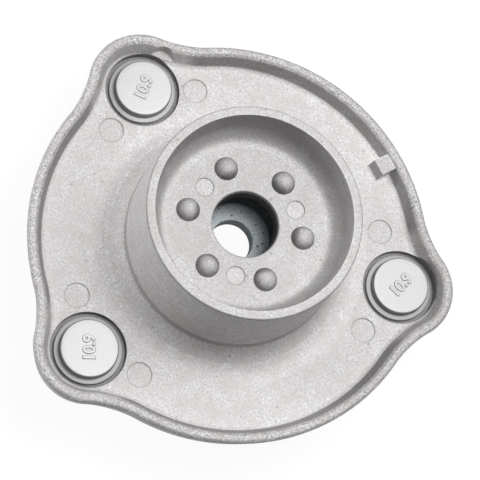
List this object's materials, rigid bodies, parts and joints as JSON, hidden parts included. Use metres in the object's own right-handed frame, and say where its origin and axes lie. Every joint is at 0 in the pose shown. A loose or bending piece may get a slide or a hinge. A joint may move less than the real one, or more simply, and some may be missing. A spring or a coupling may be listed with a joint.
{
  "type": "strut mount",
  "caption": "Cast strut top mount with a lobed dished flange on studs, a tall flared collar with a cup, and a steel rod core held in a rubber bush.",
  "frame": {"origin": "On the rod bore's axis, in the plane of the flange face that seats against the strut tower.", "axes": "+Z runs along the rod bore towards the collar, +X runs to the first stud, and the studs point to -Z."},
  "size_m": [0.1334, 0.1246, 0.0674],
  "materials": {
    "cast_aluminium": "as cast, matt",
    "stud_steel": "zinc plated, pressed head",
    "core_steel": "galvanised, lightly pitted",
    "bush_rubber": "moulded, matt",
    "cover_steel": "pressed, zinc plated"
  },
  "bodies": {
    "housing": {"housing": "cast_aluminium", "stud_1": "stud_steel", "stud_2": "stud_steel", "stud_3": "stud_steel", "closing_cover": "cover_steel", "bush_rubber": "bush_rubber"},
    "core": {"core_sleeve": "core_steel"}
  },
  "joints": [
    {"name": "core_flex", "type": "slide", "parent": "housing", "child": "core", "axis": [0, 0, 1], "range_m": [-0.0025, 0.0025], "stiffness_N_per_m": 400000, "deforming": ["bush_rubber"]}
  ]
}
